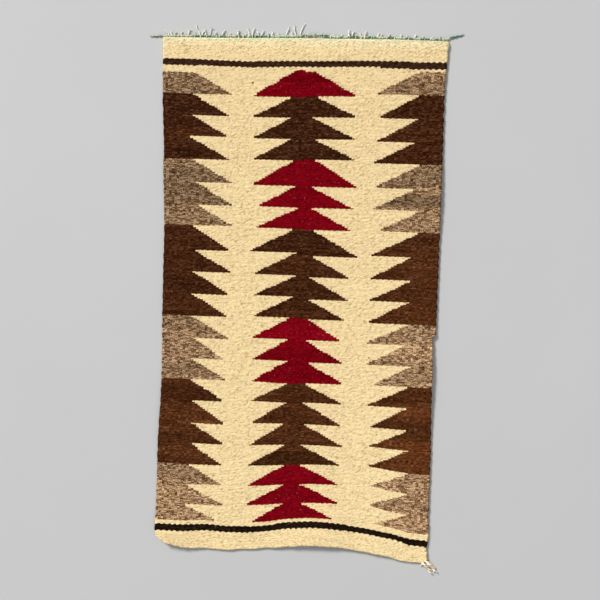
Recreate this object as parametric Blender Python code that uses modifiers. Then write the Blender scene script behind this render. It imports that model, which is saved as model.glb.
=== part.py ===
"""Navajo rug laid on a floor: woven cloth, end cord, cotton warp ends and a corner tassel.

Metres, +Z up. The rug lies on z = 0 with its length along Y and its corded end at +Y. The
origin is on the floor, under the middle of the whole rug's box.
"""
import math

import bmesh
import bpy
import numpy as np

MM = 0.001

# Driving sizes of the cloth
RUG_WIDTH = 480 * MM
RUG_LENGTH = 884 * MM
CLOTH_THICKNESS = 5 * MM
EDGE_ROUNDING = 1.8 * MM
TOP_END_Y = 436.5 * MM
COLUMNS = 26
ROW_STEP = 20 * MM
END_ROW_STEP = 6 * MM
END_ROWS_FROM = 846 * MM

# How the selvages draw in, down the length. Columns: distance from the top end, left edge
# in, right edge in
SELVAGES_MM = (
    (0, 2.0, 1.4),
    (88, 2.4, 5.3),
    (197, 5.8, 3.8),
    (310, 8.2, 2.9),
    (471, 7.2, 2.9),
    (577, 7.7, 5.3),
    (730, 1.9, 2.4),
    (850, 0.2, 2.4),
    (863, 2.8, 2.0),
    (873, 9.0, 1.4),
    (884, 18.5, 1.0),
)

# The wefts bow up towards the bottom end: height and half span of the bow, where its
# middle is across the rug, and the stretch of length over which it grows
BOW_HEIGHT = 20 * MM
BOW_HALF_SPAN = 185 * MM
BOW_MIDDLE_X = 42 * MM
BOW_FROM = 560 * MM
BOW_FULL = 840 * MM

# Soft lifts where the cloth stands off the floor. Columns: middle across, distance from
# the top end, half width, half length, height
LIFTS_MM = (
    (45, 884, 100, 130, 7.0),
    (-240, 884, 95, 80, 9.0),
    (-240, 640, 60, 110, 4.0),
    (240, 560, 55, 120, 4.5),
    (240, 250, 45, 90, 3.0),
    (-240, 250, 45, 80, 2.5),
    (150, 884, 60, 60, 2.5),
)

# Fit between neighbouring pieces
GAP = 0.3 * MM

# Two-ply end cord along the top end. Columns of its route: across, out past the cloth's end
CORD_PLY_RADIUS = 1.0 * MM
CORD_RADIUS = 1.8 * MM
CORD_TWIST_PITCH = 13 * MM
CORD_STEP = 2.5 * MM
CORD_SINK = 14 * MM
CORD_ROUTE_MM = (
    (-256, 0.6),
    (-244, 2.1),
    (-209, 2.4),
    (-175, 2.2),
    (-149, 2.1),
    (-124, 3.2),
    (-90, 2.6),
    (-57, 2.2),
    (-23, 3.4),
    (-7, 3.2),
    (8, 5.0),
    (22, 6.4),
    (36, 4.6),
    (60, 2.4),
    (92, 3.9),
    (122, 3.0),
    (158, 2.4),
    (199, 2.1),
    (230, 2.8),
    (244, 7.0),
    (257, 9.6),
)

# Cotton warp ends past the top end, on a strip under the cord. Columns: across, length
# past the strip, lean to the right, bend to the right, width
STRIP_DEPTH = 6.4 * MM
STRIP_HALF_LENGTH = 234 * MM
STRAND_THICKNESS = 1.1 * MM
STRAND_STEPS = 3
STRANDS_MM = (
    (-229.0, 8, -7, -2, 1.5),
    (-224.5, 5, -1, 1, 1.3),
    (-217.5, 3, 0, 1, 2.2),
    (-207.5, 4, 1, 0, 1.3),
    (-195.5, 8, 1, 2, 3.4),
    (-183.0, 6, -4, 1, 1.3),
    (-176.0, 16, -5, -3, 1.3),
    (-171.5, 10, 2, 2, 1.2),
    (-165.5, 8, 0, -2, 1.4),
    (-158.5, 13, 1, 2, 1.3),
    (-150.0, 4, 2, 0, 1.2),
    (-138.0, 8, 3, 2, 1.5),
    (-124.0, 3, -1, 0, 1.6),
    (-111.0, 8, -1, 1, 3.2),
    (-98.0, 3, 1, 0, 1.3),
    (-92.0, 12, -2, -1, 1.6),
    (-87.0, 12, 2, 1, 1.6),
    (-76.0, 8, -3, -1, 1.4),
    (-71.5, 8, 3, 1, 1.4),
    (-61.0, 3, 0, 1, 1.3),
    (-54.0, 7, 1, 0, 1.9),
    (-42.0, 3, -1, 0, 1.4),
    (-30.0, 15, 2, 3, 1.4),
    (-22.5, 5, 3, 0, 1.3),
    (-14.5, 18, -2, -2, 1.5),
    (-7.0, 20, 2, 6, 1.4),
    (4.0, 4, 2, 0, 1.3),
    (29.0, 4, -1, 0, 1.6),
    (47.0, 3, 1, 0, 1.3),
    (63.0, 4, -1, 1, 1.5),
    (74.0, 10, 0, 1, 1.9),
    (79.5, 10, 1, 2, 1.6),
    (93.5, 8, -1, -1, 1.5),
    (100.0, 9, 2, 1, 1.6),
    (110.0, 3, 0, 0, 1.3),
    (121.0, 7, 2, 1, 1.7),
    (126.5, 5, 2, 0, 1.3),
    (139.5, 6, 1, 1, 2.1),
    (150.0, 3, -1, 0, 1.3),
    (159.5, 4, 1, 0, 1.7),
    (171.0, 3, -1, 0, 1.3),
    (182.0, 5, 2, 1, 1.9),
    (196.0, 3, 0, 0, 1.4),
    (211.0, 3, 1, 0, 1.5),
    (224.0, 3, -1, 0, 1.3),
)

# Tuft at the bottom right corner: its knot, then its strands. Columns: heading from
# straight down the rug, length, bend, width
TASSEL_X = 234.5 * MM
KNOT_RADIUS = 2.6 * MM
KNOT_HEIGHT = 4.4 * MM
TASSEL_STRANDS_MM = (
    (38, 17, 14, 1.9),
    (56, 18, 20, 1.8),
    (-58, 8, -10, 1.5),
)
TASSEL_THICKNESS = 1.5 * MM
TASSEL_STEPS = 6

# Colours (linear) and finish: base colour, roughness
FINISHES = {
    "cream_wool": ((0.82, 0.66, 0.38, 1), 0.95),
    "sea_green_wool": ((0.16, 0.42, 0.33, 1), 0.9),
    "white_cotton": ((0.86, 0.78, 0.62, 1), 0.85),
}


def clear_scene():
    for old in list(bpy.data.objects):
        bpy.data.objects.remove(old, do_unlink=True)


def collection(name):
    made = bpy.data.collections.new(name)
    bpy.context.scene.collection.children.link(made)
    return made


def finish(name):
    """Returns the named plain material, made when it is first asked for."""
    if name in bpy.data.materials:
        return bpy.data.materials[name]
    colour, roughness = FINISHES[name]
    made = bpy.data.materials.new(name)
    made.use_nodes = True
    shader = made.node_tree.nodes["Principled BSDF"]
    shader.inputs["Base Color"].default_value = colour
    shader.inputs["Roughness"].default_value = roughness
    shader.inputs["Metallic"].default_value = 0.0
    return made


def eased(table, column, at):
    """Reads a table's column between its rows with a smooth step from each to the next."""
    rows = np.array(table, float)
    at = np.clip(at, rows[0, 0], rows[-1, 0])
    above = np.clip(np.searchsorted(rows[:, 0], at) - 1, 0, len(rows) - 2)
    share = (at - rows[above, 0]) / (rows[above + 1, 0] - rows[above, 0])
    share = share * share * (3 - 2 * share)
    return rows[above, column] * (1 - share) + rows[above + 1, column] * share


def smooth_step(low, high, at):
    share = np.clip((at - low) / (high - low), 0, 1)
    return share * share * (3 - 2 * share)


def hump(away, half_span):
    """A raised cosine: 1 in the middle, level with the floor at the half span."""
    return np.cos(math.pi / 2 * np.clip(np.abs(away) / half_span, 0, 1)) ** 2


def cloth_places(across, down):
    """Where points of the cloth lie: across runs 0 to 1 between the selvages, down is the
    distance from the top end."""
    left = -RUG_WIDTH / 2 + eased(SELVAGES_MM, 1, down / MM) * MM
    right = RUG_WIDTH / 2 - eased(SELVAGES_MM, 2, down / MM) * MM
    x = left + (right - left) * across
    bow = BOW_HEIGHT * hump(x - BOW_MIDDLE_X, BOW_HALF_SPAN)
    y = TOP_END_Y - down + bow * smooth_step(BOW_FROM, BOW_FULL, down)
    z = np.zeros_like(x)
    for middle, from_top, half_width, half_length, height in LIFTS_MM:
        rise = height * MM * hump(x - middle * MM, half_width * MM)
        z = z + rise * hump(down - from_top * MM, half_length * MM)
    return np.stack([x, y, z], -1)


def woven_cloth(parts):
    """A grid laid on the rug's outline and lifts, given its thickness and round edges."""
    plain_rows = np.arange(0, END_ROWS_FROM, ROW_STEP)
    end_rows = np.arange(END_ROWS_FROM, RUG_LENGTH, END_ROW_STEP)
    down = np.concatenate([plain_rows, end_rows, [RUG_LENGTH]])
    mesh = bpy.data.meshes.new("rug_cloth")
    grid = bmesh.new()
    bmesh.ops.create_grid(grid, x_segments=COLUMNS, y_segments=len(down) - 1, size=0.5)
    grid.verts.ensure_lookup_table()
    flat = np.array([v.co for v in grid.verts])
    row = np.rint((0.5 - flat[:, 1]) * (len(down) - 1)).astype(int)
    for vertex, place in zip(grid.verts, cloth_places(flat[:, 0] + 0.5, down[row])):
        vertex.co = place
    grid.to_mesh(mesh)
    grid.free()
    cloth = bpy.data.objects.new("rug_cloth", mesh)
    parts.objects.link(cloth)
    thickness = cloth.modifiers.new("thickness", "SOLIDIFY")
    thickness.thickness = CLOTH_THICKNESS
    thickness.offset = 1
    rounding = cloth.modifiers.new("round edges", "BEVEL")
    rounding.width = EDGE_ROUNDING
    rounding.segments = 2
    rounding.limit_method = "ANGLE"
    rounding.angle_limit = math.radians(60)
    mesh.materials.append(finish("cream_wool"))
    return cloth


def flat_outline(name, points, thickness, parts):
    """A closed flat outline, standing on the floor at the given thickness."""
    curve = bpy.data.curves.new(name, "CURVE")
    curve.dimensions = "2D"
    curve.fill_mode = "BOTH"
    curve.extrude = thickness / 2
    line = curve.splines.new("POLY")
    line.points.add(len(points) - 1)
    for point, (x, y) in zip(line.points, points):
        point.co = (x, y, 0, 1)
    line.use_cyclic_u = True
    made = bpy.data.objects.new(name, curve)
    made.location.z = thickness / 2
    parts.objects.link(made)
    return made


def as_mesh(source, parts):
    """Makes a curve object a mesh object with its caps welded, and removes the curve."""
    bpy.context.view_layer.update()
    shown = source.evaluated_get(bpy.context.evaluated_depsgraph_get())
    mesh = bpy.data.meshes.new_from_object(shown)
    welded = bmesh.new()
    welded.from_mesh(mesh)
    bmesh.ops.remove_doubles(welded, verts=welded.verts, dist=0.00001)
    bmesh.ops.recalc_face_normals(welded, faces=welded.faces)
    welded.to_mesh(mesh)
    welded.free()
    name = source.name
    made = bpy.data.objects.new(name, mesh)
    made.matrix_world = source.matrix_world.copy()
    parts.objects.link(made)
    bpy.data.objects.remove(source, do_unlink=True)
    made.name = name
    return made


def cord_route():
    """Points along the end cord: it lies on the strip and sinks to the floor at its ends."""
    rows = np.array(CORD_ROUTE_MM, float) * MM
    across = np.arange(rows[0, 0], rows[-1, 0], CORD_STEP)
    out = eased(CORD_ROUTE_MM, 1, across / MM) * MM
    past_strip = smooth_step(STRIP_HALF_LENGTH, STRIP_HALF_LENGTH + CORD_SINK, np.abs(across))
    height = CORD_RADIUS + (STRAND_THICKNESS + GAP) * (1 - past_strip)
    return np.stack([across, TOP_END_Y + out, height], -1)


def twisted_end_cord(parts, guides):
    """Two plies as one solid: a figure-of-eight outline that turns along the route."""
    outline = bpy.data.curves.new("cord outline", "CURVE")
    outline.dimensions = "2D"
    ring = outline.splines.new("POLY")
    sides = 8
    ring.points.add(sides - 1)
    for i, point in enumerate(ring.points):
        turn = 2 * math.pi * i / sides
        lobe = (CORD_RADIUS + CORD_PLY_RADIUS) / 2
        reach = lobe + (CORD_RADIUS - CORD_PLY_RADIUS) / 2 * math.cos(2 * turn)
        point.co = (reach * math.cos(turn), reach * math.sin(turn), 0, 1)
    ring.use_cyclic_u = True
    outline_guide = bpy.data.objects.new("cord outline", outline)
    outline_guide.hide_render = True
    outline_guide.display_type = "WIRE"
    guides.objects.link(outline_guide)

    curve = bpy.data.curves.new("end_cord", "CURVE")
    curve.dimensions = "3D"
    curve.twist_mode = "Z_UP"
    curve.bevel_mode = "OBJECT"
    curve.bevel_object = outline_guide
    curve.use_fill_caps = True
    line = curve.splines.new("POLY")
    route = cord_route()
    line.points.add(len(route) - 1)
    for point, place in zip(line.points, route):
        point.co = (*place, 1)
        point.tilt = 2 * math.pi * (place[0] - route[0, 0]) / CORD_TWIST_PITCH
    curve.materials.append(finish("sea_green_wool"))
    cord = bpy.data.objects.new("end_cord", curve)
    parts.objects.link(cord)
    return as_mesh(cord, parts)


def strand_sides(root, length, lean, bend, width, steps):
    """Left and right side points of one warp end that leans and bends to the right."""
    along = np.linspace(0, 1, steps + 1)
    middle_x = root[0] + lean * along + bend * along**2
    middle_y = root[1] + length * along
    half = width / 2 * (1 - 0.25 * along)
    slope = np.gradient(middle_x) / np.gradient(middle_y)
    flat_share = 1 / np.sqrt(1 + slope**2)
    side_x = half * flat_share
    side_y = half * slope * flat_share
    side_y[0] = 0
    left = np.stack([middle_x - side_x, middle_y + side_y], -1)
    right = np.stack([middle_x + side_x, middle_y - side_y], -1)
    return left, right


def warp_end_fringe(parts):
    """One comb-like outline: the strip under the cord and every warp end past it."""
    strip_low = TOP_END_Y + GAP
    strip_high = strip_low + STRIP_DEPTH
    points = [
        (STRIP_HALF_LENGTH, strip_low),
        (-STRIP_HALF_LENGTH, strip_low),
        (-STRIP_HALF_LENGTH, strip_high),
    ]
    for x, length, lean, bend, width in np.array(STRANDS_MM) * MM:
        left, right = strand_sides((x, strip_high), length, lean, bend, width, STRAND_STEPS)
        points.extend(left)
        points.extend(right[::-1])
    points.append((STRIP_HALF_LENGTH, strip_high))
    fringe = flat_outline("warp_end_fringe", points, STRAND_THICKNESS, parts)
    fringe.data.materials.append(finish("white_cotton"))
    return fringe


def tassel_strand(start, heading, length, bend, width):
    """A flat closed outline of one tassel strand, which starts inside the knot."""
    along = np.linspace(0, 1, TASSEL_STEPS + 1)
    turn = math.radians(heading) - math.radians(bend * 2.2) * along
    step = length / TASSEL_STEPS
    x = start[0] + np.concatenate([[0], np.cumsum(np.sin(turn[:-1]))]) * step
    y = start[1] - np.concatenate([[0], np.cumsum(np.cos(turn[:-1]))]) * step
    side = width / 2 * np.stack([np.cos(turn), np.sin(turn)], -1)
    middle = np.stack([x, y], -1)
    return [*(middle + side), *(middle - side)[::-1]]


def corner_tassel(parts, guides):
    """A small knot with a flat foot, joined to the strands that lie out from it."""
    knot_y = TOP_END_Y - RUG_LENGTH - GAP - KNOT_RADIUS - 0.4 * MM
    mesh = bpy.data.meshes.new("corner_tassel")
    knot = bmesh.new()
    bmesh.ops.create_uvsphere(knot, u_segments=12, v_segments=8, radius=1)
    for vertex in knot.verts:
        vertex.co.x = TASSEL_X + vertex.co.x * KNOT_RADIUS
        vertex.co.y = knot_y + vertex.co.y * KNOT_RADIUS
        vertex.co.z = max(0.0, vertex.co.z * KNOT_HEIGHT * 0.62 + KNOT_HEIGHT * 0.38)
    bmesh.ops.remove_doubles(knot, verts=knot.verts, dist=0.00001)
    bmesh.ops.dissolve_degenerate(knot, edges=knot.edges, dist=0.00001)
    knot.to_mesh(mesh)
    knot.free()
    tassel = bpy.data.objects.new("corner_tassel", mesh)
    parts.objects.link(tassel)
    mesh.materials.append(finish("white_cotton"))
    for number, (heading, length, bend, width) in enumerate(TASSEL_STRANDS_MM):
        outline = tassel_strand((TASSEL_X, knot_y), heading, length * MM, bend, width * MM)
        flat = flat_outline(f"tassel strand {number}", outline, TASSEL_THICKNESS, guides)
        strand = as_mesh(flat, guides)
        strand.hide_render = True
        strand.display_type = "WIRE"
        join = tassel.modifiers.new(f"strand {number}", "BOOLEAN")
        join.operation = "UNION"
        join.solver = "EXACT"
        join.object = strand
    return tassel


def main():
    clear_scene()
    parts = collection("navajo_rug")
    guides = collection("cutters")
    woven_cloth(parts)
    twisted_end_cord(parts, guides)
    warp_end_fringe(parts)
    corner_tassel(parts, guides)
    bpy.context.view_layer.update()


main()
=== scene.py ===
"""Navajo rug laid flat on a floor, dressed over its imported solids.

Metres, +Z up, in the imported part's frame: the rug's length runs along Y, its corded end is
at +Y, and the floor is z = 0. The weave is counted in warps, from the left selvage, and in
picks, which are single passes of weft, from the corded end.
"""
import math

import bpy
import numpy as np
from mathutils import Matrix, Vector


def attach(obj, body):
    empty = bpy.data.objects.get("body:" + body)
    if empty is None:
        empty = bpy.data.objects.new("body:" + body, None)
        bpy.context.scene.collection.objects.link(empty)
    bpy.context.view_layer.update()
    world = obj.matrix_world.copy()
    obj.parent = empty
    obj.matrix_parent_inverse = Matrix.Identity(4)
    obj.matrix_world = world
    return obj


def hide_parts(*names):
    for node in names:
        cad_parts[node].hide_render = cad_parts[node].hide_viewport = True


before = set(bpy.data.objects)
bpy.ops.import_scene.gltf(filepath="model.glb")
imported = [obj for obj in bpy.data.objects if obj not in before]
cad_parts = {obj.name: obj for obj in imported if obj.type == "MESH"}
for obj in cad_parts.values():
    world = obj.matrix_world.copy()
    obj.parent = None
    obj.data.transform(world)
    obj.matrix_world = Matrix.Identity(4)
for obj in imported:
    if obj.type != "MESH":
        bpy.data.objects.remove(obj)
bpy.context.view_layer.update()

MM = 0.001

# Camera at the photo's viewing angle
CAMERA_PLACE = (0.1889, 0.2121, 1.8472)
CAMERA_AIM = (0.0057, 0.0027, 0.005)
CAMERA_UP = (-0.0396, 0.9933, -0.109)
CAMERA_LENS = 65.7
CAMERA_SENSOR = 36.0

# Cloth, as in the part's source
RUG_WIDTH = 480 * MM
RUG_LENGTH = 884 * MM
TOP_END_Y = 436.5 * MM
GAP = 0.3 * MM

# How the selvages draw in. Columns: distance from the top end, left edge in, right edge in
SELVAGES_MM = (
    (0, 2.0, 1.4),
    (88, 2.4, 5.3),
    (197, 5.8, 3.8),
    (310, 8.2, 2.9),
    (471, 7.2, 2.9),
    (483, 7.2, 2.3),
    (490, 7.3, 7.6),
    (508, 7.4, 6.8),
    (546, 7.6, 5.2),
    (577, 7.7, 5.3),
    (730, 1.9, 2.4),
    (800, 0.8, 2.2),
    (818, 0.6, 0.7),
    (838, 0.3, 0.8),
    (850, 0.2, 2.4),
    (863, 2.8, 2.0),
    (873, 9.0, 1.4),
    (884, 18.5, 1.0),
)

# The wefts bow up towards the bottom end
BOW_HEIGHT = 20 * MM
BOW_HALF_SPAN = 185 * MM
BOW_MIDDLE_X = 42 * MM
BOW_FROM = 560 * MM
BOW_FULL = 840 * MM

# They also sag a little left of the middle, just under the top end
SAG_DEPTH = 3.2 * MM
SAG_HALF_SPAN = 200 * MM
SAG_MIDDLE_X = -60 * MM
SAG_FULL = (18 * MM, 60 * MM)
SAG_GONE = 200 * MM

# How far up the top end bulges. Columns: across, up
TOP_BULGE_MM = (
    (-240, 1.4),
    (-150, 1.5),
    (-100, 1.9),
    (-50, 2.7),
    (0, 3.1),
    (60, 3.0),
    (150, 3.4),
    (198, 2.4),
    (240, 1.4),
)
TOP_BULGE_GONE = 24 * MM

# How far the wefts of the last tiers and the last wefts of all are beaten up here and
# there. Columns: across, up the rug over the last tiers, up the rug over the last wefts
BEATEN_MM = (
    (-240, 0.0, 0.8),
    (-200, 0.0, 1.0),
    (-146, 0.8, 3.6),
    (-104, 1.5, 0.6),
    (-72, 2.4, -1.4),
    (-40, 0.5, -2.6),
    (2, -0.9, -0.5),
    (44, 0.5, 1.8),
    (76, 2.4, 2.1),
    (100, 2.1, 2.3),
    (149, 1.2, 4.2),
    (172, -1.0, 4.2),
    (212, -3.0, -0.8),
    (240, -3.5, -1.6),
)
TIERS_BEATEN = (690 * MM, 750 * MM)
LAST_BEATEN = (795 * MM, 833 * MM)

# How far up the rug the bottom end is drawn in, most at its corners. Columns: across, up
END_DRAWN_MM = (
    (-240, 10.8),
    (-220, 9.6),
    (-200, 4.8),
    (-185, 1.4),
    (-170, 0.0),
    (-104, 0.0),
    (-86, 2.4),
    (-65, 1.4),
    (-44, 2.4),
    (-23, 0.0),
    (70, 0.0),
    (83, 1.0),
    (125, 1.2),
    (146, 0.3),
    (167, 1.0),
    (188, -0.5),
    (209, 1.4),
    (226, 2.6),
    (234, 5.0),
    (240, 8.0),
)
END_DRAWN_FROM = 855 * MM
END_BUMP = 0.7 * MM
END_BUMP_SPAN = 4 * MM
END_BUMP_FROM = 868 * MM

# Where the cloth stands off the floor. Columns: middle across, distance from the top end,
# half width, half length, height
LIFTS_MM = (
    (45, 884, 100, 130, 7.0),
    (-240, 884, 95, 80, 9.0),
    (-240, 640, 60, 110, 4.0),
    (240, 560, 55, 120, 4.5),
    (240, 250, 45, 90, 3.0),
    (-240, 250, 45, 80, 2.5),
    (150, 884, 60, 60, 2.5),
)

# Weave: its counts, its thickness without the floats, and how far the floats stand out
WARPS = 100
PICKS = 912
PICK = RUG_LENGTH / PICKS
HALF_THICKNESS = 2.0 * MM
MID_PLANE = 2.6 * MM
FLOAT_RELIEF = 0.35 * MM
EDGE_ROUNDING = 2.0 * MM
FLOAT_TOP = 1.0
FLOAT_CREVICE = 0.1
DIVE_TOP = 0.8
DIVE_CREVICE = 0.2
GRAIN_SLANT = 0.5
DRIFT_CELLS = 400

# Lumps of the handspun yarn: how far they stand out, their length and breadth, and how
# steeply they rise to the right
LUMP_RELIEF = 0.75 * MM
LUMP_LENGTH = 4.4 * MM
LUMP_BREADTH = 1.8 * MM
LUMP_RISE = math.radians(36)

# The sheet is made in lengths that end with a pick of the chart below
LENGTH_ENDS = (0, 204, 444, 677, PICKS)

# Yarns, in the order of the cloth's material slots
CREAM, BROWN, RED, GREY, DARK, BLACK = range(6)

# Border stripes, with the passes that were added in places. Columns: first and last pick,
# first and last warp, yarn
STRIPES = (
    (35, 45, 0, 12, DARK),
    (35, 44, 12, 34, DARK),
    (34, 43, 34, 77, DARK),
    (34, 45, 77, 88, DARK),
    (35, 46, 88, 100, DARK),
    (867, 878, 0, 34, BLACK),
    (868, 878, 34, 44, BLACK),
    (867, 878, 44, 70, BLACK),
    (868, 877, 70, 92, BLACK),
    (868, 879, 92, 100, BLACK),
)

# Chart of the tiers of stepped triangles, counted in whole picks and half warps.
# Each widens from its notch, on its first pick, to its tip, on its last. Columns: last
# picks of the left triangle, of the middle one's left and right halves and of the right
# triangle, then the warps of the left notch and tip, of the middle's left tip and notch,
# its right notch and tip, and of the right tip and notch
FIRST_PICKS = (57, 48, 51, 50)
MIDDLE_WARP = 51
TIERS = (
    (93, 94, 93, 89, 12, 25.5, 32.5, 48, 54, 70, 76, 91.5),
    (130, 130, 129, 129, 10.5, 24.5, 32, 47, 55, 70, 77, 92),
    (167, 168, 167, 169, 10.5, 24, 32.5, 46.5, 54, 69.5, 76.5, 91.5),
    (207, 205, 202, 206, 9, 24, 32.5, 46.5, 54, 69.5, 75.5, 90.5),
    (247, 249, 249, 248, 10.5, 25.5, 32, 48, 54.5, 70.5, 76, 93),
    (286, 286, 286, 285, 12, 25.5, 34, 48.5, 53.5, 69, 75.5, 91),
    (322, 323, 324, 322, 12, 25.5, 33.5, 49.5, 53.5, 68.5, 78, 93),
    (366, 365, 370, 366, 10, 25, 31.5, 48.5, 54, 71.5, 75.5, 93),
    (404, 404, 407, 406, 11.5, 25.5, 33, 49, 54, 68.5, 75.5, 90),
    (444, 442, 446, 444, 11, 25, 33.5, 49.5, 53.5, 68.5, 75.5, 91),
    (483, 479, 481, 483, 11, 25, 33.5, 48.5, 53.5, 67.5, 75, 90),
    (522, 518, 518, 520, 10.5, 25.5, 33.5, 47.5, 53.5, 67, 75.5, 90.5),
    (560, 557, 558, 557, 11.5, 23.5, 33.5, 47.5, 53.5, 67.5, 75.5, 90.5),
    (597, 597, 595, 593, 11, 24.5, 33.5, 47, 54, 68, 78, 92.5),
    (636, 633, 632, 631, 10.5, 24, 33.5, 47.5, 53, 68, 76.5, 92),
    (677, 674, 674, 671, 11.5, 25, 34.5, 47, 53, 67.5, 77.5, 91.5),
    (714, 716, 716, 708, 12, 25, 34, 47, 53.5, 68.5, 77.5, 92),
    (753, 756, 756, 747, 12, 24.5, 33.5, 47.5, 52.5, 67.5, 77.5, 92),
    (790, 795, 795, 784, 11.5, 24.5, 33.5, 47.5, 52, 67.5, 78.5, 92.5),
    (828, 831, 831, 822, 10.5, 25.5, 33, 47.5, 52.5, 68, 78, 92),
    (859, 860, 860, 856, 10, 22.5, 35, 47.5, 53, 65.5, 80, 92.5),
)

# Lots of the dark yarns that came out darker or paler, with judged tones. Columns: first and
# last warp, first and last pick, tone
YARN_LOTS = (
    (0, 31, 152, 178, 1.35),
    (0, 31, 226, 287, 0.8),
    (0, 31, 368, 384, 0.85),
    (0, 31, 415, 437, 0.8),
    (0, 31, 476, 509, 0.85),
    (0, 31, 567, 592, 0.8),
    (0, 31, 609, 638, 0.75),
    (0, 31, 641, 694, 1.3),
    (0, 31, 695, 716, 0.9),
    (0, 31, 719, 742, 1.2),
    (0, 31, 752, 782, 0.75),
    (0, 31, 796, 818, 1.15),
    (31, 74, 56, 70, 0.75),
    (31, 74, 251, 261, 0.85),
    (31, 74, 327, 369, 0.85),
    (31, 74, 372, 383, 1.2),
    (31, 74, 406, 468, 0.85),
    (31, 74, 498, 518, 1.2),
    (31, 74, 532, 588, 0.9),
    (31, 74, 635, 648, 1.15),
    (31, 74, 657, 668, 0.9),
    (31, 74, 728, 756, 0.65),
    (31, 74, 757, 790, 1.1),
    (74, 100, 50, 64, 1.25),
    (74, 100, 118, 182, 1.15),
    (74, 100, 204, 246, 0.85),
    (74, 100, 248, 257, 1.25),
    (74, 100, 258, 279, 0.65),
    (74, 100, 281, 309, 1.15),
    (74, 100, 359, 392, 1.15),
    (74, 100, 424, 441, 0.9),
    (74, 100, 518, 541, 1.25),
    (74, 100, 552, 582, 0.85),
    (74, 100, 593, 622, 0.75),
    (74, 100, 633, 647, 1.2),
    (74, 100, 657, 690, 0.75),
    (74, 100, 693, 721, 1.15),
    (74, 100, 800, 812, 0.85),
    (74, 100, 822, 856, 1.1),
)

# Marks on the cream wool: across, along, radius, strength, colour
RUST = (0.62, 0.30, 0.09)
BURR = (0.05, 0.03, 0.02)
CREAM_MARKS = (
    (-0.085, -0.0956, 0.006, 0.45, RUST),
    (-0.084, 0.365, 0.0019, 0.85, BURR),
    (-0.138, -0.312, 0.0016, 0.8, BURR),
    (0.1264, -0.0913, 0.0016, 0.8, BURR),
    (0.144, -0.224, 0.0016, 0.8, BURR),
)

# How many tiers in a row share their yarns, and those yarns: middle, then sides
TIER_GROUPS = (
    (1, RED, GREY),
    (3, BROWN, BROWN),
    (3, RED, GREY),
    (4, BROWN, BROWN),
    (3, RED, GREY),
    (4, BROWN, BROWN),
    (3, RED, GREY),
)

# End cord: its plies, and its route across and out past the cloth's end
CORD_PLY_RADIUS = 0.85 * MM
CORD_RADIUS = 1.5 * MM
CORD_TWIST_PITCH = 13 * MM
CORD_STEP = 0.8 * MM
CORD_SINK = 14 * MM
CORD_ROUTE_MM = (
    (-256, 0.6),
    (-244, 2.1),
    (-209, 2.4),
    (-175, 2.2),
    (-149, 2.1),
    (-124, 3.2),
    (-90, 2.6),
    (-57, 2.2),
    (-23, 3.4),
    (-7, 3.2),
    (8, 5.0),
    (22, 6.4),
    (36, 4.6),
    (60, 2.4),
    (92, 3.9),
    (122, 3.0),
    (158, 2.4),
    (199, 2.1),
    (230, 2.8),
    (244, 7.0),
    (257, 9.6),
)

# Cotton warp ends past the top end. Columns: across, length past the strip that they grow
# from, lean to the right, bend to the right, width
STRIP_DEPTH = 6.4 * MM
STRIP_HALF_LENGTH = 234 * MM
STRAND_THICKNESS = 1.1 * MM
STRANDS_MM = (
    (-229.0, 8, -7, -2, 1.5),
    (-224.5, 5, -1, 1, 1.3),
    (-217.5, 3, 0, 1, 2.2),
    (-207.5, 4, 1, 0, 1.3),
    (-195.5, 8, 1, 2, 3.4),
    (-183.0, 6, -4, 1, 1.3),
    (-176.0, 16, -5, -3, 1.3),
    (-171.5, 10, 2, 2, 1.2),
    (-165.5, 8, 0, -2, 1.4),
    (-158.5, 13, 1, 2, 1.3),
    (-150.0, 4, 2, 0, 1.2),
    (-138.0, 8, 3, 2, 1.5),
    (-124.0, 3, -1, 0, 1.6),
    (-111.0, 8, -1, 1, 3.2),
    (-98.0, 3, 1, 0, 1.3),
    (-92.0, 12, -2, -1, 1.6),
    (-87.0, 12, 2, 1, 1.6),
    (-76.0, 8, -3, -1, 1.4),
    (-71.5, 8, 3, 1, 1.4),
    (-61.0, 3, 0, 1, 1.3),
    (-54.0, 7, 1, 0, 1.9),
    (-42.0, 3, -1, 0, 1.4),
    (-30.0, 15, 2, 3, 1.4),
    (-22.5, 5, 3, 0, 1.3),
    (-14.5, 18, -2, -2, 1.5),
    (-7.0, 20, 2, 6, 1.4),
    (4.0, 4, 2, 0, 1.3),
    (29.0, 4, -1, 0, 1.6),
    (47.0, 3, 1, 0, 1.3),
    (63.0, 4, -1, 1, 1.5),
    (74.0, 10, 0, 1, 1.9),
    (79.5, 10, 1, 2, 1.6),
    (93.5, 8, -1, -1, 1.5),
    (100.0, 9, 2, 1, 1.6),
    (110.0, 3, 0, 0, 1.3),
    (121.0, 7, 2, 1, 1.7),
    (126.5, 5, 2, 0, 1.3),
    (139.5, 6, 1, 1, 2.1),
    (150.0, 3, -1, 0, 1.3),
    (159.5, 4, 1, 0, 1.7),
    (171.0, 3, -1, 0, 1.3),
    (182.0, 5, 2, 1, 1.9),
    (196.0, 3, 0, 0, 1.4),
    (211.0, 3, 1, 0, 1.5),
    (224.0, 3, -1, 0, 1.3),
)

# Tuft of cream yarn at the bottom right corner. Columns: across and along the rug where a
# strand starts on the cloth, bends and ends, and its width
TASSEL_STRANDS_MM = (
    (235.0, -440.5, 248.5, -451.5, 253.5, -461.5, 4.8),
    (229.5, -443.5, 240.5, -453.5, 246.5, -463.0, 4.4),
    (231.0, -445.5, 229.8, -449.5, 227.5, -452.0, 2.6),
)
TASSEL_ROOT = 5.0 * MM


# Camera


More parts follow.
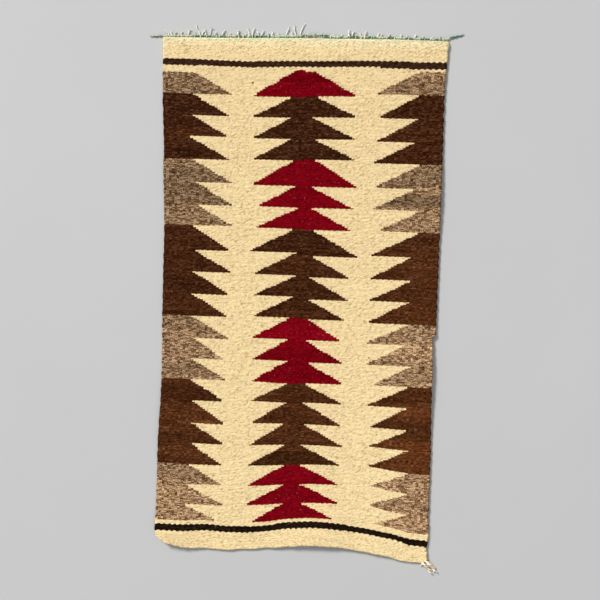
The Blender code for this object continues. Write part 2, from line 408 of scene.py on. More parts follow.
def photo_camera():
    """Looks down at the rug from above its top right, with the photo's slight roll."""
    data = bpy.data.cameras.new("photo_camera")
    data.lens = CAMERA_LENS
    data.sensor_width = CAMERA_SENSOR
    camera = bpy.data.objects.new("photo_camera", data)
    bpy.context.scene.collection.objects.link(camera)
    place = Vector(CAMERA_PLACE)
    back = (place - Vector(CAMERA_AIM)).normalized()
    right = Vector(CAMERA_UP).cross(back).normalized()
    turned = Matrix((right, back.cross(right), back)).transposed()
    camera.matrix_world = Matrix.Translation(place) @ turned.to_4x4()
    bpy.context.scene.camera = camera


# Shape functions


def eased(table, column, at):
    """Reads a table's column between its rows with a smooth step from each to the next."""
    rows = np.array(table, float)
    at = np.clip(at, rows[0, 0], rows[-1, 0])
    above = np.clip(np.searchsorted(rows[:, 0], at) - 1, 0, len(rows) - 2)
    share = (at - rows[above, 0]) / (rows[above + 1, 0] - rows[above, 0])
    share = share * share * (3 - 2 * share)
    return rows[above, column] * (1 - share) + rows[above + 1, column] * share


def smooth_step(low, high, at):
    share = np.clip((at - low) / (high - low), 0, 1)
    return share * share * (3 - 2 * share)


def hump(away, half_span):
    """A raised cosine: 1 in the middle, level with the floor at the half span."""
    return np.cos(math.pi / 2 * np.clip(np.abs(away) / half_span, 0, 1)) ** 2


def drift(seed, down, across, lively=False):
    """Smooth random drift from -1 to 1: seeded numbers on a grid of cells one unit wide,
    read between its rows and columns with a smooth step. The grid repeats far off. For a
    lively one each number loses the mean of the four beside it, so that near ones differ."""
    grid = np.random.default_rng(seed).uniform(-1, 1, (DRIFT_CELLS, DRIFT_CELLS))
    if lively:
        beside = [np.roll(grid, shift, axis) for shift in (-1, 1) for axis in (0, 1)]
        grid = grid - sum(beside) / 4
    down, across = np.broadcast_arrays(down, across)
    row, column = np.floor(down).astype(int), np.floor(across).astype(int)
    low, right = smooth_step(0, 1, down - row), smooth_step(0, 1, across - column)
    upper_row, lower_row = row % DRIFT_CELLS, (row + 1) % DRIFT_CELLS
    left_column, right_column = column % DRIFT_CELLS, (column + 1) % DRIFT_CELLS
    upper = grid[upper_row, left_column] * (1 - right) + grid[upper_row, right_column] * right
    lower = grid[lower_row, left_column] * (1 - right) + grid[lower_row, right_column] * right
    return upper * (1 - low) + lower * low


def top_bulge(x):
    return eased(TOP_BULGE_MM, 1, x / MM) * MM


def cloth_plane(warp, pick):
    """Where a place in the weave lies: x and y, and how far its underside is lifted.

    Across, it is its share of the way between the selvages. Along, it is the top end less
    its distance down, raised by its bulge and by the bow, lowered by the sag, moved as the last wefts are
    beaten and as the bottom end is drawn in, with small bumps. The lift is a sum of raised
    cosines in both directions."""
    down = pick * PICK
    left = -RUG_WIDTH / 2 + eased(SELVAGES_MM, 1, down / MM) * MM
    right = RUG_WIDTH / 2 - eased(SELVAGES_MM, 2, down / MM) * MM
    x = left + (right - left) * warp / WARPS
    bulge = top_bulge(x) * (1 - smooth_step(0, TOP_BULGE_GONE, down))
    bow = BOW_HEIGHT * hump(x - BOW_MIDDLE_X, BOW_HALF_SPAN)
    y = TOP_END_Y - down + bulge + bow * smooth_step(BOW_FROM, BOW_FULL, down)
    last = smooth_step(*LAST_BEATEN, down)
    y = y + eased(BEATEN_MM, 1, x / MM) * MM * smooth_step(*TIERS_BEATEN, down) * (1 - last)
    y = y + eased(BEATEN_MM, 2, x / MM) * MM * last
    y = y + eased(END_DRAWN_MM, 1, x / MM) * MM * smooth_step(END_DRAWN_FROM, RUG_LENGTH, down)
    bump = END_BUMP * drift(26, 0.5, x / END_BUMP_SPAN)
    y = y + bump * smooth_step(END_BUMP_FROM, RUG_LENGTH, down)
    sag = SAG_DEPTH * hump(x - SAG_MIDDLE_X, SAG_HALF_SPAN)
    sag = sag * smooth_step(0, SAG_FULL[0], down) * (1 - smooth_step(SAG_FULL[1], SAG_GONE, down))
    lift = np.zeros_like(x)
    for middle, from_top, half_width, half_length, height in LIFTS_MM:
        rise = height * MM * hump(x - middle * MM, half_width * MM)
        lift = lift + rise * hump(down - from_top * MM, half_length * MM)
    return x, y - sag, lift


# Meshes


def add_piece(name, points, faces, body="root"):
    """A mesh object of the points and faces, smooth, riding on the body."""
    mesh = bpy.data.meshes.new(name)
    mesh.from_pydata(points, [], faces)
    mesh.shade_smooth()
    piece = bpy.data.objects.new(name, mesh)
    bpy.context.scene.collection.objects.link(piece)
    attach(piece, body)
    return piece


def add_uv(mesh, name, corners):
    layer = mesh.uv_layers.new(name=name)
    layer.uv.foreach_set("vector", np.asarray(corners, np.float32).ravel())


# Woven cloth


def reach(tier, column, from_pick, to_pick, pick):
    """How far a triangle's slanted side reaches: straight from notch to a blunt tip, a
    little unevenly."""
    notch, tip = column
    passes = np.maximum(to_pick - pick, 1.6) + 0.6 * drift(24, pick / 5, notch + tip)
    share = 1 - np.clip(passes / (to_pick - from_pick), 0, 1)
    return tier[notch] + (tier[tip] - tier[notch]) * share


def yarn_chart(warp, pick):
    """The yarn at each place of the weave, from the chart."""
    yarn = np.full(warp.shape, CREAM)
    for first, last, left, right, stripe_yarn in STRIPES:
        yarn[(pick >= first) & (pick <= last) & (warp > left) & (warp < right)] = stripe_yarn
    yarns = [group[1:] for group in TIER_GROUPS for _ in range(group[0])]
    left_half = warp < MIDDLE_WARP
    starts = FIRST_PICKS
    for tier, (middle_yarn, side_yarn) in zip(TIERS, yarns):
        ends = tier[:4]
        within = [(pick > start) & (pick <= end) for start, end in zip(starts, ends)]
        left = warp < reach(tier, (4, 5), starts[0], ends[0], pick)
        middle_left = left_half & (warp > reach(tier, (7, 6), starts[1], ends[1], pick))
        middle_right = ~left_half & (warp < reach(tier, (8, 9), starts[2], ends[2], pick))
        right = warp > reach(tier, (11, 10), starts[3], ends[3], pick)
        yarn[within[0] & left] = side_yarn
        yarn[(within[1] & middle_left) | (within[2] & middle_right)] = middle_yarn
        yarn[within[3] & right] = side_yarn
        starts = ends
    return yarn


def lot_tone(warp, pick, yarn):
    """Tone of the dark yarns at each place: the product of the lots' own, which ease in and
    out over four passes, not on one line."""
    tone = np.ones(warp.shape)
    uneven = pick + 2 * drift(27, pick / 6, warp / 5)
    for left, right, first, last, lot in YARN_LOTS:
        within = smooth_step(first - 2, first + 2, uneven)
        within = within * (1 - smooth_step(last - 2, last + 2, uneven))
        within = within * ((warp > left) & (warp < right) & (yarn != CREAM))
        tone = tone * (1 + (lot - 1) * within)
    return tone


def ring_across():
    """Warps of the points round the sheet: over its face from the left selvage to the
    right one, then over its back. Two points a warp, and more where the selvages turn."""
    turning = np.array([0.08, 0.25])
    plain = np.arange(0.5, WARPS, 0.5)
    inner = np.concatenate([turning, plain, WARPS - turning[::-1]])
    face = np.concatenate([[0], inner, [WARPS]])
    return np.concatenate([face, inner[::-1]]), len(face)


def rows_down():
    """Picks of the rows of points: one each, and more where the two ends turn."""
    turning = np.array([0, 0.12, 0.5])
    return np.concatenate([turning, np.arange(1, PICKS), PICKS - turning[::-1]])


def yarn_thickness():
    """How thick the handspun yarn of each pick is over each warp, about 1. It changes from
    pick to pick and drifts along each pick."""
    pick, warp = np.mgrid[0 : PICKS + 2, 0:WARPS]
    slub = drift(15, pick * 7.0, warp / 7 + pick * 3.7)
    each = np.random.default_rng(16).uniform(-1, 1, pick.shape)
    return np.clip(1 + 0.55 * slub + 0.2 * each, 0.4, 1.6)


def pushed_along(thickness):
    """How far each pick is pushed down the rug by thick yarn above it, in picks: the
    running sum of what is over 1, less its own average over the near picks."""
    pushed = np.cumsum(thickness - 1, axis=0)
    near = 13
    padded = np.pad(pushed, ((near // 2, near // 2), (0, 0)), mode="edge")
    sums = np.cumsum(np.pad(padded, ((1, 0), (0, 0))), axis=0)
    return 0.3 * (pushed - (sums[near:] - sums[:-near]) / near)


def scallops(warp, pick, matches):
    """How far the rows near a change of yarn are moved down, in picks. Over every second
    warp the change lies one pick lower. The bottoms of the triangles are beaten nearly
    level, and the edges of the stripes are left to bulge, more in some places than others.
    Matches is a function of a pick: 1 over the warps where the change lies lower, or -1."""
    moved = np.zeros(warp.shape)
    for tier in TIERS:
        triangles = (
            warp < tier[5] + 2,
            (warp > tier[6] - 2) & (warp < MIDDLE_WARP),
            (warp >= MIDDLE_WARP) & (warp < tier[9] + 2),
            warp > tier[10] - 2,
        )
        for end, within in zip(tier[:4], triangles):
            near = np.exp(-(((pick - end - 0.5) / 2.2) ** 2))
            moved -= 0.4 * near * within * matches(end)
    bulge = 0.15 + 0.5 * drift(25, pick / 60, warp / 2.5)
    for first, last, left, right, _ in STRIPES:
        within = bulge * ((warp > left) & (warp < right))
        moved += within * np.exp(-(((pick - last - 0.5) / 2.2) ** 2)) * matches(last)
        moved -= within * np.exp(-(((pick - first + 0.5) / 2.2) ** 2)) * matches(first)
    return moved


def lumps(x, y, side):
    """Slanted lumps of the handspun yarn: drift in cells that are turned by the lumps'
    rise, with half as much again at half the size, then shaped to nearly level tops and
    narrow hollows. They rise to the right on both sides."""
    across = np.where(side == 0, x, -x)
    along = across * math.cos(LUMP_RISE) + y * math.sin(LUMP_RISE)
    over = y * math.cos(LUMP_RISE) - across * math.sin(LUMP_RISE)
    large = drift(18, over / LUMP_BREADTH + 200, along / LUMP_LENGTH + 100 + 50 * side, True)
    small = drift(19, 2 * over / LUMP_BREADTH + 300, 2 * along / LUMP_LENGTH + 200 + 50 * side)
    both = (large + 0.5 * small) / 1.5
    return 0.3 * both + smooth_step(-0.55, 0.05, both)


def woven_sheet():
    """All points of the cloth, row by row round the sheet, with their weave coordinates.

    A weft passes over every second warp and the next pick over the others. So over the
    middle of a warp every second row is the top of a float, and the rows between are
    crevices. Between two warps the yarn dives, and its ridge is lower there and half a
    pick higher up, so that the grains rise to the right on either side."""
    ring, face_points = ring_across()
    rows = rows_down()
    warp, pick = np.meshgrid(ring, rows)
    side = np.broadcast_to(np.arange(len(ring)) >= face_points, warp.shape).astype(int)
    counted = np.rint(pick).astype(int)
    between = (warp % 1 == 0) & (warp > 0) & (warp < WARPS)
    column = np.clip(np.floor(warp), 0, WARPS - 1).astype(int)
    column = np.where(between & (side == 0), column - 1, column)
    on_top = (counted + column + side) % 2 == 0

    thickness = yarn_thickness()
    pushed = pushed_along(thickness)
    beside = np.clip(column + np.where(side == 0, 1, -1), 0, WARPS - 1)
    push = np.where(between, (pushed[counted, column] + pushed[counted, beside]) / 2,
                    pushed[counted, column])
    ends_off = np.minimum(pick, PICKS - pick)
    loose = np.clip(ends_off / 4, 0, 1)
    rise = loose * GRAIN_SLANT * between
    wander = 0.5 * drift(12, pick / 40, warp / 12) + 0.15 * drift(13, pick / 9, warp / 4)
    wander += scallops(warp, pick, lambda at: np.where((at + column + side) % 2, -1, 1) * ~between)
    selvage_off = np.minimum(warp, WARPS - warp)
    warp_wander = 0.14 * drift(14, pick / 14, warp / 1.5) * np.clip(selvage_off / 2, 0, 1)
    x, y, lift = cloth_plane(warp + warp_wander, pick - rise + loose * (wander + push))

    turn = 1 - np.clip(selvage_off * RUG_WIDTH / WARPS / EDGE_ROUNDING, 0, 1)
    end_turn = 1 - np.clip((ends_off * PICK + 0.05 * MM) / EDGE_ROUNDING, 0, 1)
    rounding = np.sqrt((1 - turn**2) * (1 - end_turn**2))
    height = np.where(
        between,
        np.where(on_top, DIVE_TOP, DIVE_CREVICE),
        np.where(on_top, FLOAT_TOP, FLOAT_CREVICE),
    )
    height = height * (0.45 + 0.55 * thickness[counted, column])
    half = HALF_THICKNESS + FLOAT_RELIEF * height + LUMP_RELIEF * lumps(x, y, side)
    z = lift + MID_PLANE + np.where(side == 0, 1, -1) * half * rounding
    beads = np.abs(np.sin(math.pi * (pick + 4 * drift(28, pick / 25, side)) / 17)) - 0.6
    beads = beads * np.where(warp < WARPS / 2, 0.9, 1.8)
    knuckle = beads + 0.7 * drift(17, pick / 8, np.where(warp < WARPS / 2, 0.5, 9.5))
    x = x + np.where(warp < WARPS / 2, -1, 1) * turn * knuckle * MM
    points = np.stack([x, y, np.maximum(z, 0.0)], -1)
    return points, warp, pick - rise, face_points, thickness


def grid_normals(points):
    """Normals of a grid that is closed across: each point's is the sum of those of the
    faces round it, and each face's is the cross product of its diagonals."""
    right = np.roll(points, -1, 1)
    fall = right[1:] - points[:-1]
    rise = right[:-1] - points[1:]
    faces = np.cross(fall, rise)
    summed = np.zeros_like(points)
    for part in (faces, np.roll(faces, 1, 1)):
        summed[:-1] += part
        summed[1:] += part
    return summed / np.linalg.norm(summed, axis=-1, keepdims=True)


def grid_faces(rows, ring):
    """Quads of a grid of points that is closed across, facing outwards."""
    row, column = np.meshgrid(np.arange(rows - 1), np.arange(ring), indexing="ij")
    next_column = (column + 1) % ring
    corners = (
        row * ring + column,
        (row + 1) * ring + column,
        (row + 1) * ring + next_column,
        row * ring + next_column,
    )
    return np.stack(corners, -1)


def cut_faces(first_point, ring, face_points, downward):
    """Faces that close the sheet where a length ends: from each point of its face to the
    one under it on its back."""
    face = np.arange(1, face_points - 2)
    corners = np.stack([face, face + 1, ring - face - 1, ring - face], -1)
    ends = np.array(
        [[0, 1, ring - 1], [face_points - 2, face_points - 1, ring - face_points + 2]]
    )
    if downward:
        corners, ends = corners[:, ::-1], ends[:, ::-1]
    return (corners + first_point).tolist() + (ends + first_point).tolist()


def woven_lengths(finishes):
    """The sheet's lengths, each closed where it meets the next, with normals worked out
    on the whole sheet so that no seam shows."""
    points, warp, pick, face_points, thickness = woven_sheet()
    normals = grid_normals(points)
    tone = np.random.default_rng(20).uniform(0, 1, thickness.shape)
    ring = points.shape[1]
    ends = [0] + [end + 2 for end in LENGTH_ENDS[1:-1]] + [len(points) - 1]
    lengths = []
    for number, (top, bottom) in enumerate(zip(ends[:-1], ends[1:])):
        rows = bottom - top + 1
        quads = grid_faces(rows, ring)
        caps = cut_faces(0, ring, face_points, False)
        caps += cut_faces((rows - 1) * ring, ring, face_points, True)
        band = points[top : bottom + 1].reshape(-1, 3)
        name = f"woven_length_{number + 1}"
        length = add_piece(name, band, quads.reshape(-1, 4).tolist() + caps)
        mesh = length.data
        for material in finishes:
            mesh.materials.append(material)

        grid_row, grid_column = np.meshgrid(
            np.arange(rows - 1), np.arange(ring), indexing="ij"
        )
        on_back = (grid_column >= face_points - 1).astype(int)
        next_warp = np.roll(warp[0], -1)
        middle = (warp[0][grid_column] + next_warp[grid_column]) / 2
        column = np.clip(np.floor(middle), 0, WARPS - 1).astype(int)
        counted = np.clip(grid_row + top - 2, 0, PICKS - 1)
        float_pick = counted + (counted + column + on_back) % 2
        yarn = yarn_chart(column + 0.5, float_pick)
        yarns = np.concatenate([yarn.ravel(), np.full(len(caps), CREAM)])
        mesh.polygons.foreach_set("material_index", yarns.astype(np.int32))

        add_uv(mesh, "OFBake", bake_corners(rows, ring, face_points, caps))
        add_uv(mesh, "weave", weave_corners(warp, pick, top, bottom, face_points, caps))
        yarn_share = np.stack([thickness[float_pick, column], tone[float_pick, column]], -1)
        yarn_corners = np.repeat(yarn_share.reshape(-1, 2), 4, axis=0)
        cap_corners = np.ones((sum(len(face) for face in caps), 2))
        add_uv(mesh, "yarn", np.concatenate([yarn_corners, cap_corners]))
        lot = lot_tone(column + 0.5, float_pick, yarn)
        lot_corners = np.repeat(np.stack([lot, lot], -1).reshape(-1, 2), 4, axis=0)
        add_uv(mesh, "lot", np.concatenate([lot_corners, cap_corners]))
        mesh.normals_split_custom_set_from_vertices(normals[top : bottom + 1].reshape(-1, 3))
        lengths.append(length)
    return lengths


def corner_grid(values):
    """A grid's values at the four corners of each of its faces."""
    right = np.roll(values, -1, 1)
    return np.stack([values[:-1], values[1:], right[1:], right[:-1]], -1)


def bake_corners(rows, ring, face_points, caps):
    """A flat map of the sheet: the face fills the upper half, the back the lower one, and the
    cuts lie on the line between them."""
    place = np.arange(ring + 1)
    face_share = place / (face_points - 1)
    back_share = (ring - place) / (face_points - 1)
    down = np.linspace(0, 1, rows)
    row, column = np.meshgrid(np.arange(rows - 1), np.arange(ring), indexing="ij")
    on_back = column >= face_points - 1
    across = []
    along = []
    for corner_row, corner_column in ((0, 0), (1, 0), (1, 1), (0, 1)):
        share = column + corner_column
        u = np.where(on_back, back_share[share], face_share[share])
        v = down[row + corner_row]
        across.append(0.01 + 0.98 * u)
        along.append(np.where(on_back, 0.485 - 0.475 * v, 0.99 - 0.475 * v))
    sheet = np.stack([np.stack(across, -1), np.stack(along, -1)], -1).reshape(-1, 2)
    cut = []
    for face in caps:
        inside = np.array(face) % ring
        on_face = inside < face_points
        share = np.where(on_face, face_share[inside], back_share[inside])
        line = 0.495 if face[0] < ring else 0.503
        cut.append(np.stack([0.01 + 0.98 * share, line + 0.004 * on_face], -1))
    return np.concatenate([sheet, *cut])


def weave_corners(warp, pick, top, bottom, face_points, caps):
    """Map of the weave, in warps and picks. The back is mirrored and one pick on, so that
    it follows the same rule as the face when it is seen from behind."""
    ring = warp.shape[1]
    band_warp = corner_grid(warp[top : bottom + 1])
    band_pick = corner_grid(pick[top : bottom + 1])
    on_back = (np.arange(ring) >= face_points - 1)[None, :, None]
    u = np.where(on_back, 3 * WARPS - band_warp, band_warp)
    v = np.where(on_back, band_pick + 1, band_pick)
    sheet = np.stack([u, v], -1).reshape(-1, 2)
    flat_warp = warp[top : bottom + 1].ravel()
    flat_pick = pick[top : bottom + 1].ravel()
    cut = [np.stack([flat_warp[list(face)], flat_pick[list(face)]], -1) for face in caps]
    return np.concatenate([sheet, *cut])


# Strings


def tube(path, radius, sides, start_turn=0.0):
    """A closed round string: circles square to the path, each the path's point plus the
    radius times the cosine and sine of the angle along two directions square to it."""
    along = np.gradient(path, axis=0)
    along /= np.linalg.norm(along, axis=1, keepdims=True)
    flat = np.cross(along, (0.0, 0.0, 1.0))
    flat /= np.linalg.norm(flat, axis=1, keepdims=True) + 1e-9
    upright = np.cross(flat, along)
    angle = start_turn + 2 * math.pi * np.arange(sides) / sides
    spread = np.broadcast_to(np.asarray(radius, float).reshape(-1, 1, 1), (len(path), 1, 1))
    circle = flat[:, None] * np.cos(angle)[None, :, None]
    circle = circle + upright[:, None] * np.sin(angle)[None, :, None]
    body = path[:, None] + spread * circle
    travelled = np.concatenate([[0], np.cumsum(np.linalg.norm(np.diff(path, axis=0), axis=1))])
    points = np.concatenate([body.reshape(-1, 3), path[:1], path[-1:]])
    quads = grid_faces(len(path), sides)[:, :, ::-1].reshape(-1, 4)
    side = np.arange(sides)
    next_side = (side + 1) % sides
    first, last = len(path) * sides, len(path) * sides + 1
    final = (len(path) - 1) * sides
    start = np.stack([np.full(sides, first), side, next_side], -1)
    end = np.stack([np.full(sides, last), final + next_side, final + side], -1)

    share = travelled / MM
    lengthwise = np.repeat(share, sides)
    lengthwise = np.concatenate([lengthwise, share[:1], share[-1:]])
    around = np.concatenate([np.tile(side / sides, len(path)), [0.5, 0.5]])
    faces = quads.tolist() + start.tolist() + end.tolist()
    corners = np.concatenate([quads.ravel(), start.ravel(), end.ravel()])
    turned = around[corners]
    groups = np.concatenate([np.repeat(np.arange(len(quads)), 4),
                             len(quads) + np.repeat(np.arange(2 * sides), 3)])
    highest = np.zeros(groups[-1] + 1)
    np.maximum.at(highest, groups, turned)
    wraps = (highest[groups] > 0.75) & (turned < 0.25)
    turned = np.where(wraps, turned + 1, turned)
    return points, faces, np.stack([lengthwise[corners], turned], -1)


def string_piece(name, tubes):
    """One piece of many strings, with a map of millimetres along and turns round each."""
    points, faces, corners = [], [], []
    count = 0
    for tube_points, tube_faces, tube_corners in tubes:
        points.append(tube_points)
        faces += [[corner + count for corner in face] for face in tube_faces]
        corners.append(tube_corners)
        count += len(tube_points)
    piece = add_piece(name, np.concatenate(points), faces)
    add_uv(piece.data, "strand", np.concatenate(corners))
    return piece


def cord_route():
    """Points along the end cord: it lies on the warp ends and sinks to the floor."""
    across = np.arange(CORD_ROUTE_MM[0][0] * MM, CORD_ROUTE_MM[-1][0] * MM, CORD_STEP)
    out = eased(CORD_ROUTE_MM, 1, across / MM) * MM
    past_strip = smooth_step(STRIP_HALF_LENGTH, STRIP_HALF_LENGTH + CORD_SINK, np.abs(across))
    height = CORD_RADIUS + (STRAND_THICKNESS + GAP) * (1 - past_strip)
    return np.stack([across, TOP_END_Y + top_bulge(across) + out, height], -1)


def end_cord(finish):
    """Two plies, each a helix round the cord's route, with frayed ends."""
    route = cord_route()
    turn = 2 * math.pi * (route[:, 0] - route[0, 0]) / CORD_TWIST_PITCH
    reach_out = CORD_RADIUS - CORD_PLY_RADIUS
    taper = smooth_step(0, 6 * MM, np.minimum(route[:, 0] - route[0, 0], route[-1, 0] - route[:, 0]))
    tubes = []
    for start in (0, math.pi):
        helix = route.copy()
        helix[:, 1] += reach_out * np.cos(turn + start)
        helix[:, 2] += reach_out * np.sin(turn + start)
        slub = 1 + 0.12 * drift(21, route[:, 0] / (6 * MM) + 100, 0.5 + start)
        tubes.append(tube(helix, CORD_PLY_RADIUS * slub * (0.35 + 0.65 * taper), 10))
    random = np.random.default_rng(22)
    for end, outward in ((route[2], -1), (route[-3], 1)):
        for _ in range(9):
            length = random.uniform(4, 8) * MM
            spread = random.uniform(-0.9, 0.9)
            share = np.linspace(0, 1, 8)
            fibre = np.stack(
                [
                    end[0] + outward * length * share,
                    end[1] + spread * length * 0.6 * share**1.4,
                    np.maximum(end[2] * (1 - share) + random.uniform(0.3, 1.6) * MM * share, 0.3 * MM),
                ],
                -1,
            )
            tubes.append(tube(fibre, 0.28 * MM * (1 - 0.6 * share), 5))
    cord = string_piece("end_cord_yarn", tubes)
    cord.data.materials.append(finish)
    return cord


def twisted_string(path, width, random):
    """A two-ply string along the path: two helices of half its width that loosen and
    thin out towards the cut end."""
    ply = width * 0.31
    share = np.linspace(0, 1, len(path))
    travelled = np.concatenate([[0], np.cumsum(np.linalg.norm(np.diff(path, axis=0), axis=1))])
    turn = 2 * math.pi * travelled / (3.2 * width) + random.uniform(0, 6.3)
    loosened = ply * (0.85 + 0.9 * share**3)
    along = np.gradient(path, axis=0)
    along /= np.linalg.norm(along, axis=1, keepdims=True)
    flat = np.cross(along, (0.0, 0.0, 1.0))
    flat /= np.linalg.norm(flat, axis=1, keepdims=True)
    made = []
    for start in (0, math.pi):
        offset = flat * (loosened * np.cos(turn + start))[:, None]
        helix = path + offset
        helix[:, 2] += loosened * np.sin(turn + start)
        radius = ply * (1 - 0.45 * share**4)
        helix[:, 2] = np.maximum(helix[:, 2], radius * 1.05)
        made.append(tube(helix, radius, 7))
    return made


def cord_loops():
    """Warp loops that the end cord is bound on with: each an arc from the cloth's end over
    the cord and down to the strip behind it."""
    made = []
    random = np.random.default_rng(32)
    share = np.linspace(0, 1, 14)
    places = np.cumsum([-230.0] + [random.uniform(3.2, 11.5) for _ in range(70)]) * MM
    for x in places[places < STRIP_HALF_LENGTH - 4 * MM]:
        out = eased(CORD_ROUTE_MM, 1, x / MM) * MM
        radius = random.uniform(0.4, 1.0) * MM
        lean = random.uniform(-1.5, 2.5) * MM
        height = 2 * CORD_RADIUS + STRAND_THICKNESS + GAP + 0.7 * radius
        edge = TOP_END_Y + top_bulge(x)
        start = edge - random.uniform(1.2, 3.2) * MM
        end = edge + out + CORD_RADIUS + random.uniform(0.2, 1.2) * MM
        path = np.stack(
            [
                x + lean * share,
                start + (end - start) * share,
                2.6 * MM + (height - 2.6 * MM) * np.sin(math.pi * share) ** 0.7,
            ],
            -1,
        )
        made.append(tube(path, radius * (0.6 + 0.4 * np.sin(math.pi * share)), 7))
    return made


def warp_ends(finish, stained_finish):
    """The cotton warp ends, each twisted, leaning and curled as it was cut, and the loops
    over the end cord, which its dye has stained."""
    random = np.random.default_rng(31)
    strip_high = TOP_END_Y + GAP + STRIP_DEPTH
    tubes = cord_loops()
    stained = sum(len(faces) for _, faces, _ in tubes)
    for x, length, lean, bend, width in np.array(STRANDS_MM) * MM:
        strings = max(1, round(width / (1.35 * MM)))
        width = 1.3 * width
        for number in range(strings):
            offset = (number - (strings - 1) / 2) * 1.1 * MM
            share = np.linspace(0, 1, 22)
            past = np.clip((share - 0.3) / 0.7, 0, 1)
            root_y = TOP_END_Y + top_bulge(x) - 1.5 * MM
            path = np.stack(
                [
                    x + offset * (0.4 + 0.9 * past) + lean * past + bend * past**2,
                    root_y + (strip_high - root_y) * np.clip(share / 0.3, 0, 1) + length * past,
                    width / strings * 0.55 + 0.5 * MM * np.sin(math.pi * past) * random.uniform(0, 1),
                ],
                -1,
            )
            curl = random.uniform(0.4, 1.3) * MM * past
            turns = share * random.uniform(7, 14) + random.uniform(0, 6)
            path[:, 0] += curl * np.sin(turns)
            path[:, 1] += curl * np.cos(turns)
            path[:, 2] += 1.2 * curl * (1 + np.sin(1.3 * turns))
            tubes += twisted_string(path, width / strings, random)
    ends = string_piece("cotton_warp_ends", tubes)
    ends.data.materials.append(finish)
    ends.data.materials.append(stained_finish)
    slots = np.arange(len(ends.data.polygons)) < stained
    ends.data.polygons.foreach_set("material_index", slots.astype(np.int32))
    return ends


def corner_tassel(finish):
    """Strands that come out of the corner and lie out on the floor. Each is the parabola
    through its start, bend and end at shares 0, 0.5 and 1 of its length. It leaves the
    cloth's height with a smooth step down to its own half width."""
    random = np.random.default_rng(41)
    share = np.linspace(0, 1, 36)
    weights = (2 * (share - 0.5) * (share - 1), 4 * share * (1 - share), 2 * share * (share - 0.5))
    tubes = []
    for start_x, start_y, bend_x, bend_y, end_x, end_y, width in TASSEL_STRANDS_MM:
        x = sum(weight * at for weight, at in zip(weights, (start_x, bend_x, end_x))) * MM
        y = sum(weight * at for weight, at in zip(weights, (start_y, bend_y, end_y))) * MM
        fallen = smooth_step(0.18, 0.6, share)
        height = TASSEL_ROOT * (1 - fallen) + width * MM * (0.62 - 0.9 * (1 - smooth_step(0, 0.2, share)))
        tubes += twisted_string(np.stack([x, y, height], -1), width * MM, random)
    tassel = string_piece("corner_tassel_strings", tubes)
    tassel.data.materials.append(finish)
    return tassel


# Shader groups


class Nodes:
    """Short ways to add nodes to one tree. A value is a number, a colour or a socket."""

    def __init__(self, tree):
        self.tree = tree

    def give(self, socket, value):
        if isinstance(value, bpy.types.NodeSocket):
            self.tree.links.new(value, socket)
        else:
            socket.default_value = value

    def add(self, kind, inputs=(), **settings):
        made = self.tree.nodes.new(kind)
        for name, value in settings.items():
            setattr(made, name, value)
        for name, value in dict(inputs).items():
            self.give(made.inputs[name], value)
        return made

    def math(self, operation, *values, clamp=False):
        made = self.add("ShaderNodeMath", operation=operation, use_clamp=clamp)
        for socket, value in zip(made.inputs, values):
            self.give(socket, value)
        return made.outputs[0]

    def between(self, value, low, high):
        """0 below low and 1 above high, with a smooth step between."""
        made = self.add("ShaderNodeMapRange", interpolation_type="SMOOTHSTEP")
        for name, given in (("Value", value), ("From Min", low), ("From Max", high)):
            self.give(made.inputs[name], given)
        return made.outputs["Result"]

    def spread(self, value, low, high):
        """A value of 0 to 1 spread over low to high."""
        made = self.add("ShaderNodeMapRange", {"Value": value, "To Min": low, "To Max": high})
        return made.outputs["Result"]

    def mix(self, share, first, second, blend="MIX"):
        made = self.add("ShaderNodeMix", data_type="RGBA", blend_type=blend)
        for index, value in ((0, share), (6, first), (7, second)):
            self.give(made.inputs[index], value)
        return made.outputs[2]

    def brighten(self, colour, value):
        """The colour times a value."""
        made = self.add("ShaderNodeVectorMath", operation="SCALE")
        plain = isinstance(colour, tuple)
        self.give(made.inputs[0], colour[:3] if plain else colour)
        self.give(made.inputs["Scale"], value)
        return made.outputs[0]

    def vector(self, x, y, z=0.0):
        return self.add("ShaderNodeCombineXYZ", {"X": x, "Y": y, "Z": z}).outputs[0]

    def noise(self, vector, scale, detail=2.0, roughness=0.5, distortion=0.0):
        made = self.add(
            "ShaderNodeTexNoise",
            {
                "Vector": vector,
                "Scale": scale,
                "Detail": detail,
                "Roughness": roughness,
                "Distortion": distortion,
            },
        )
        return made.outputs["Fac"]


def new_group(name, inputs, outputs):
    """An empty group with its sockets. Returns its nodes, its inputs and its output."""
    group = bpy.data.node_groups.new(name, "ShaderNodeTree")
    for socket, kind, value in inputs:
        made = group.interface.new_socket(socket, in_out="INPUT", socket_type=kind)
        made.default_value = value
    for socket, kind in outputs:
        group.interface.new_socket(socket, in_out="OUTPUT", socket_type=kind)
    nodes = Nodes(group)
    given = nodes.add("NodeGroupInput").outputs
    result = nodes.add("NodeGroupOutput").inputs
    return group, nodes, given, result


FLOAT = "NodeSocketFloat"
COLOUR = "NodeSocketColor"


